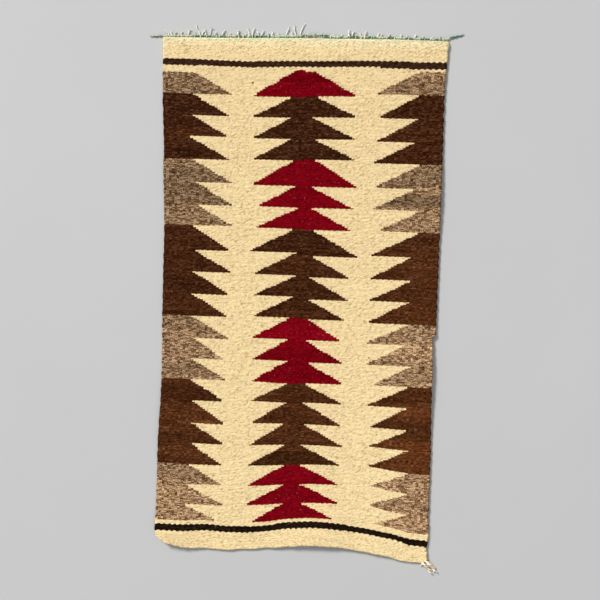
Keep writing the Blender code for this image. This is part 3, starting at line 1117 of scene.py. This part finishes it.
def weft_float_group():
    """The floats of the weave from the cloth's weave map: height, how far a place is out
    of the crevices, how thick the yarn is there, a random value for each float, streaks
    along the wefts, fibres, how level a place is between hollows, stray pale specks, and
    the tone of its lot of yarn."""
    group, nodes, given, result = new_group(
        "weft_floats",
        [("Twist", FLOAT, 1.0)],
        [
            ("Height", FLOAT),
            ("Open", FLOAT),
            ("Thickness", FLOAT),
            ("Each Float", FLOAT),
            ("Streak", FLOAT),
            ("Fibre", FLOAT),
            ("Lumps", FLOAT),
            ("Speck", FLOAT),
            ("Lot", FLOAT),
        ],
    )
    own = nodes.add("ShaderNodeUVMap", uv_map="yarn").outputs["UV"]
    own = nodes.add("ShaderNodeSeparateXYZ", {"Vector": own}).outputs
    thickness, random = own["X"], own["Y"]
    place = nodes.add("ShaderNodeUVMap", uv_map="weave").outputs["UV"]
    split = nodes.add("ShaderNodeSeparateXYZ", {"Vector": place}).outputs
    warp, pick = split["X"], split["Y"]
    column = nodes.math("FLOOR", warp)
    across = nodes.math("MULTIPLY_ADD", nodes.math("SUBTRACT", warp, column), 2.0, -1.0)
    ridge = nodes.math("MULTIPLY_ADD", across, GRAIN_SLANT, nodes.math("ADD", pick, column))
    pair = nodes.math("MULTIPLY_ADD", ridge, 0.5, 0.5)
    up = nodes.math("MULTIPLY_ADD", nodes.math("FRACT", pair), 2.0, -1.0)
    dome = nodes.math("SUBTRACT", 1.0, nodes.math("MULTIPLY", up, up), clamp=True)
    dome = nodes.math("SQRT", dome)
    pinch = nodes.math("POWER", nodes.math("ABSOLUTE", across), 2.4)
    plain = nodes.math("MULTIPLY", dome, nodes.math("MULTIPLY_ADD", pinch, -0.3, 1.0))
    lines = nodes.math("MULTIPLY_ADD", warp, 1.15, nodes.math("MULTIPLY", pick, 0.55))
    lines = nodes.math("ADD", lines, nodes.math("MULTIPLY", random, 0.6))
    lines = nodes.math("SINE", nodes.math("MULTIPLY", lines, 2 * math.pi))
    twist = nodes.math("MULTIPLY", nodes.math("MULTIPLY", lines, 0.09), given["Twist"])
    fibre_place = nodes.vector(
        nodes.math("MULTIPLY_ADD", warp, 1.2, nodes.math("MULTIPLY", pick, 0.35)),
        nodes.math("MULTIPLY_ADD", pick, 2.7, nodes.math("MULTIPLY", warp, 4.5)),
    )
    fibre = nodes.noise(fibre_place, 1.6, 4.0, 0.65)
    height = nodes.math("MULTIPLY", plain, nodes.math("MULTIPLY_ADD", thickness, 0.55, 0.45))
    height = nodes.math("ADD", height, nodes.math("MULTIPLY", twist, dome))
    height = nodes.math("MULTIPLY_ADD", fibre, 0.22, height)
    streak_place = nodes.vector(nodes.math("MULTIPLY", warp, 0.09), nodes.math("MULTIPLY", pick, 0.33))
    own_place = nodes.add("ShaderNodeTexCoord").outputs["Object"]
    turned = nodes.add("ShaderNodeMapping", {"Vector": own_place}, vector_type="TEXTURE")
    turned.inputs["Rotation"].default_value = (0.0, 0.0, LUMP_RISE)
    turned.inputs["Scale"].default_value = (0.0044, 0.0016, 0.01)
    lumpy = nodes.noise(turned.outputs[0], 1.0, 2.0, 0.6)
    height = nodes.math("MULTIPLY_ADD", lumpy, 0.8, height)
    level = nodes.between(lumpy, 0.36, 0.45)
    height = nodes.math("MULTIPLY_ADD", level, 0.5, height)
    nodes.give(result["Lumps"], level)
    speck = nodes.between(nodes.noise(own_place, 420.0, 0.0), 0.79, 0.83)
    nodes.give(result["Speck"], nodes.math("MULTIPLY", speck, 0.2))
    lot = nodes.add("ShaderNodeUVMap", uv_map="lot").outputs["UV"]
    nodes.give(result["Lot"], nodes.add("ShaderNodeSeparateXYZ", {"Vector": lot}).outputs["X"])
    nodes.give(result["Height"], height)
    nodes.give(result["Open"], nodes.between(plain, 0.05, 0.75))
    nodes.give(result["Thickness"], thickness)
    nodes.give(result["Each Float"], random)
    nodes.give(result["Streak"], nodes.noise(streak_place, 1.0, 3.0, 0.6))
    nodes.give(result["Fibre"], fibre)
    return group


def cream_marks_group():
    """Marks of use on the cream wool: green that has run from the end cord, whiter wool
    beside it, a faint rust stain and four dark burrs. Each is a distance on the rug, in
    object coordinates."""
    group, nodes, given, result = new_group(
        "cream_marks", [("Color", COLOUR, (1.0, 1.0, 1.0, 1.0))], [("Color", COLOUR)]
    )
    own = nodes.add("ShaderNodeTexCoord").outputs["Object"]
    split = nodes.add("ShaderNodeSeparateXYZ", {"Vector": own}).outputs
    uneven = nodes.noise(own, 70.0, 3.0, 0.6)
    near_cord = nodes.between(split["Y"], 0.429, 0.441)
    tint = nodes.math("MULTIPLY", near_cord, nodes.between(uneven, 0.35, 0.7))
    colour = nodes.mix(nodes.math("MULTIPLY", tint, 0.75), given["Color"], (0.48, 0.60, 0.30, 1.0))
    near_end = nodes.between(split["Y"], 0.420, 0.436)
    colour = nodes.mix(nodes.math("MULTIPLY", near_end, 0.9), colour, (1.04, 1.13, 1.26, 1.0), "MULTIPLY")
    for x, y, radius, strength, stain in CREAM_MARKS:
        away = nodes.add("ShaderNodeVectorMath", {}, operation="DISTANCE")
        flat = nodes.vector(split["X"], split["Y"])
        nodes.give(away.inputs[0], flat)
        away.inputs[1].default_value = (x, y, 0.0)
        ragged = nodes.math("MULTIPLY_ADD", uneven, radius, away.outputs["Value"])
        share = nodes.math("MULTIPLY", nodes.between(ragged, 1.7 * radius, 0.9 * radius), strength)
        colour = nodes.mix(share, colour, (*stain, 1.0))
    nodes.give(result["Color"], colour)
    return group


# Materials


def new_material(name, roughness, gloss=0.0):
    """A material with a plain shader: its steady gloss is set on the shader."""
    material = bpy.data.materials.new(name)
    material.use_nodes = True
    nodes = Nodes(material.node_tree)
    shader = material.node_tree.nodes["Principled BSDF"]
    shader.inputs["Roughness"].default_value = roughness
    shader.inputs["Specular IOR Level"].default_value = gloss
    return material, nodes, shader


def wool(name, base, floats, spread, painted_crevice_shade, painted_hollow_shade, relief, paler=None, marks=None, painted_fibre_sheen=0.0):
    """Handspun wool of one colour: each float its own tone, streaks along the wefts, and painted
    shade that darkens its crevices and hollows. Painted crevice shade and painted hollow shade
    are the shares of the full tone that they keep. Paler is a second colour that it fades towards
    down the rug, and towards the lower right as painted light; marks is a group that colours it
    further, and painted fibre sheen is the share of a pale painted highlight on the fibres, which
    some floats have more of."""
    material, nodes, shader = new_material(name, 0.95)
    weave = nodes.add("ShaderNodeGroup", {}, node_tree=floats)
    colour = (*base, 1.0)
    if paler:
        place = nodes.add("ShaderNodeTexCoord").outputs["Object"]
        split = nodes.add("ShaderNodeSeparateXYZ", {"Vector": place}).outputs
        down = nodes.between(split["Y"], 0.44, -0.44)
        # Paler down the rug, and paler still towards the lower right, where it is painted light.
        side = nodes.math("MULTIPLY", nodes.between(split["X"], 0.0, 0.24), down)
        fade_and_painted_light = nodes.math("MULTIPLY_ADD", side, 0.6, nodes.math("MULTIPLY", down, 0.5))
        fade_and_painted_light = nodes.math("ADD", fade_and_painted_light, nodes.spread(weave.outputs["Streak"], -0.35, 0.35), clamp=True)
        colour = nodes.mix(fade_and_painted_light, colour, (*paler, 1.0))
    tone = nodes.spread(weave.outputs["Each Float"], 1 - spread, 1 + spread)
    tone = nodes.math("MULTIPLY", tone, nodes.spread(weave.outputs["Streak"], 1 - spread, 1 + spread))
    tone = nodes.math("MULTIPLY", tone, nodes.spread(weave.outputs["Fibre"], 0.9, 1.1))
    # Painted highlight: a pale sheen mixed into some fibres and floats.
    fibre_sheen_share = nodes.between(weave.outputs["Fibre"], 0.55, 0.75)
    fibre_sheen_share = nodes.math("MULTIPLY_ADD", nodes.between(weave.outputs["Each Float"], 0.35, 1.0), 0.6, fibre_sheen_share)
    colour = nodes.mix(nodes.math("MULTIPLY", fibre_sheen_share, painted_fibre_sheen), colour, (0.42, 0.20, 0.125, 1.0))
    full = nodes.math("MULTIPLY_ADD", weave.outputs["Thickness"], 2.5 * spread, 1 - 2.5 * spread)
    tone = nodes.math("MULTIPLY", tone, full)
    # Painted shade: the crevices between floats are darkened.
    tone = nodes.math("MULTIPLY", tone, nodes.spread(weave.outputs["Open"], painted_crevice_shade, 1.0))
    tone = nodes.math("MULTIPLY", tone, weave.outputs["Lot"])
    colour = nodes.brighten(colour, tone)
    # Painted shade: the hollows between lumps are darkened and warmed.
    shade = (painted_hollow_shade, 0.96 * painted_hollow_shade, 0.82 * painted_hollow_shade, 1.0)
    shade = nodes.mix(weave.outputs["Lumps"], shade, (1.0, 1.0, 1.0, 1.0))
    colour = nodes.mix(1.0, colour, shade, "MULTIPLY")
    colour = nodes.mix(weave.outputs["Speck"], colour, (0.62, 0.46, 0.36, 1.0))
    if marks:
        colour = nodes.add("ShaderNodeGroup", {"Color": colour}, node_tree=marks).outputs["Color"]
    nodes.give(shader.inputs["Base Color"], colour)
    bump = nodes.add("ShaderNodeBump", {"Height": weave.outputs["Height"], "Distance": relief})
    nodes.give(shader.inputs["Normal"], bump.outputs["Normal"])
    return material


def heather_wool(name, tones, floats, relief):
    """Grey wool carded from dark and pale fleece: short blotches along the yarn, in three
    tones, paler down the rug, with painted shade in its crevices and hollows."""
    material, nodes, shader = new_material(name, 0.95)
    weave = nodes.add("ShaderNodeGroup", {}, node_tree=floats)
    place = nodes.add("ShaderNodeUVMap", uv_map="weave").outputs["UV"]
    stretched = nodes.add("ShaderNodeMapping", {"Vector": place})
    stretched.inputs["Rotation"].default_value = (0.0, 0.0, 0.12)
    stretched.inputs["Scale"].default_value = (3.1, 1.05, 1.0)
    blotch = nodes.noise(stretched.outputs[0], 1.0, 3.0, 0.7)
    blotch = nodes.math("ADD", blotch, nodes.spread(weave.outputs["Each Float"], -0.09, 0.09))
    dark, middle, pale = [(*tone, 1.0) for tone in tones]
    colour = nodes.mix(nodes.between(blotch, 0.38, 0.47), dark, middle)
    colour = nodes.mix(nodes.between(blotch, 0.5, 0.6), colour, pale)
    own = nodes.add("ShaderNodeTexCoord").outputs["Object"]
    split = nodes.add("ShaderNodeSeparateXYZ", {"Vector": own}).outputs
    tone = nodes.spread(nodes.between(split["Y"], 0.3, -0.35), 0.76, 1.12)
    tone = nodes.math("MULTIPLY", tone, nodes.spread(nodes.between(split["X"], -0.1, 0.1), 0.92, 1.0))
    # Painted shade: darker in the crevices between floats.
    tone = nodes.math("MULTIPLY", tone, nodes.spread(weave.outputs["Open"], 0.6, 1.0))
    tone = nodes.math("MULTIPLY", tone, weave.outputs["Lot"])
    # Painted shade: darker in the hollows between lumps.
    shade = nodes.mix(weave.outputs["Lumps"], (0.55, 0.52, 0.42, 1.0), (1.0, 1.0, 1.0, 1.0))
    colour = nodes.mix(1.0, nodes.brighten(colour, tone), shade, "MULTIPLY")
    nodes.give(shader.inputs["Base Color"], colour)
    bump = nodes.add("ShaderNodeBump", {"Height": weave.outputs["Height"], "Distance": relief})
    nodes.give(shader.inputs["Normal"], bump.outputs["Normal"])
    return material


def string_finish(name, base, patch, patch_from, relief, patch_scale=110.0):
    """Spun string: fibres that wind round it, patches where its dye has worn, and painted shade in the
    grooves between the fibres.
    """
    material, nodes, shader = new_material(name, 0.9)
    place = nodes.add("ShaderNodeUVMap", uv_map="strand").outputs["UV"]
    split = nodes.add("ShaderNodeSeparateXYZ", {"Vector": place}).outputs
    wound = nodes.math("MULTIPLY_ADD", split["X"], 1.1, nodes.math("MULTIPLY", split["Y"], 3.0))
    lines = nodes.math("SINE", nodes.math("MULTIPLY", wound, 2 * math.pi))
    fibre = nodes.noise(nodes.vector(wound, nodes.math("MULTIPLY", split["X"], 0.4)), 3.0, 4.0, 0.6)
    height = nodes.math("MULTIPLY_ADD", lines, 0.35, fibre)
    own = nodes.add("ShaderNodeTexCoord").outputs["Object"]
    worn = nodes.between(nodes.noise(own, patch_scale, 2.0, 0.5), patch_from, patch_from + 0.1)
    colour = nodes.mix(worn, (*base, 1.0), (*patch, 1.0))
    # Painted shade: darker where the fibres' relief is low, in the grooves.
    tone = nodes.spread(height, 0.72, 1.12)
    nodes.give(shader.inputs["Base Color"], nodes.brighten(colour, tone))
    bump = nodes.add("ShaderNodeBump", {"Height": height, "Distance": relief})
    nodes.give(shader.inputs["Normal"], bump.outputs["Normal"])
    return material


def floor_finish():
    """Pale plain floor with a faint unevenness."""
    material, nodes, shader = new_material("pale_floor", 0.8)
    own = nodes.add("ShaderNodeTexCoord").outputs["Object"]
    tone = nodes.spread(nodes.noise(own, 3.0, 3.0), 0.97, 1.03)
    nodes.give(shader.inputs["Base Color"], nodes.brighten((0.46, 0.46, 0.46), tone))
    return material


# Floor and light


def floor():
    half = 6.0
    points = [(-half, -half, 0), (half, -half, 0), (half, half, 0), (-half, half, 0)]
    mesh = bpy.data.meshes.new("floor")
    mesh.from_pydata(points, [], [(0, 1, 2, 3)])
    mesh.materials.append(floor_finish())
    made = bpy.data.objects.new("floor", mesh)
    bpy.context.scene.collection.objects.link(made)


def soft_light(name, place, power, size):
    """A square lamp that faces the middle of the rug."""
    data = bpy.data.lights.new(name, "AREA")
    data.energy = power
    data.size = size
    lamp = bpy.data.objects.new(name, data)
    lamp.location = place
    lamp.rotation_euler = Vector(place).to_track_quat("Z", "Y").to_euler()
    bpy.context.scene.collection.objects.link(lamp)


def studio():
    """Even soft light, a little stronger from the upper left so that the grain shows."""
    floor()
    soft_light("key_light", (-7.5, 9.0, 8.6), 2900, 3.6)
    soft_light("fill_light", (2.6, -5.0, 5.6), 140, 4.0)
    world = bpy.data.worlds.new("studio")
    world.use_nodes = True
    background = world.node_tree.nodes["Background"]
    background.inputs["Color"].default_value = (1.0, 1.0, 1.0, 1.0)
    background.inputs["Strength"].default_value = 0.34
    bpy.context.scene.world = world
    bpy.context.scene.view_settings.view_transform = "Standard"


def main():
    photo_camera()
    studio()
    floats = weft_float_group()
    relief = 0.6 * MM
    marks = cream_marks_group()
    yarns = [
        wool(
            "cream_wool", (0.805, 0.62, 0.337), floats, 0.05, 0.82, 0.65, relief,
            (0.90, 0.70, 0.385), marks,
        ),
        wool(
            "brown_wool", (0.037, 0.0102, 0.0028), floats, 0.26, 0.34, 0.5, relief,
            (0.112, 0.034, 0.0088), painted_fibre_sheen=0.115,
        ),
        wool("red_wool", (0.187, 0.0012, 0.0062), floats, 0.17, 0.6, 0.52, relief, painted_fibre_sheen=0.01),
        heather_wool(
            "heather_grey_wool",
            ((0.020, 0.009, 0.003), (0.22, 0.113, 0.047), (0.79, 0.525, 0.31)),
            floats,
            relief,
        ),
        wool("dark_stripe_wool", (0.036, 0.015, 0.008), floats, 0.2, 0.35, 0.5, relief, painted_fibre_sheen=0.06),
        wool("black_stripe_wool", (0.012, 0.007, 0.004), floats, 0.2, 0.35, 0.5, relief, painted_fibre_sheen=0.04),
    ]
    lengths = woven_lengths(yarns)
    sea_green = string_finish(
        "sea_green_yarn", (0.07, 0.20, 0.125), (0.56, 0.62, 0.42), 0.46, 0.3 * MM, 62.0
    )
    cord = end_cord(sea_green)
    cotton = string_finish("white_cotton", (1.0, 0.95, 0.84), (0.88, 0.74, 0.54), 0.6, 0.25 * MM)
    stained = string_finish("stained_cotton", (0.42, 0.62, 0.42), (0.86, 0.84, 0.66), 0.5, 0.25 * MM)
    ends = warp_ends(cotton, stained)
    tuft = string_finish("cream_tuft_yarn", (0.96, 0.82, 0.62), (0.86, 0.68, 0.44), 0.6, 0.25 * MM)
    tassel = corner_tassel(tuft)
    for piece, node, slot in (
        *[(length, "rug_cloth", "rug_wool") for length in lengths],
        (cord, "end_cord", "cord_wool"),
        (ends, "warp_end_fringe", "warp_cotton"),
        (tassel, "corner_tassel", "warp_cotton"),
    ):
        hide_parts(node)


main()
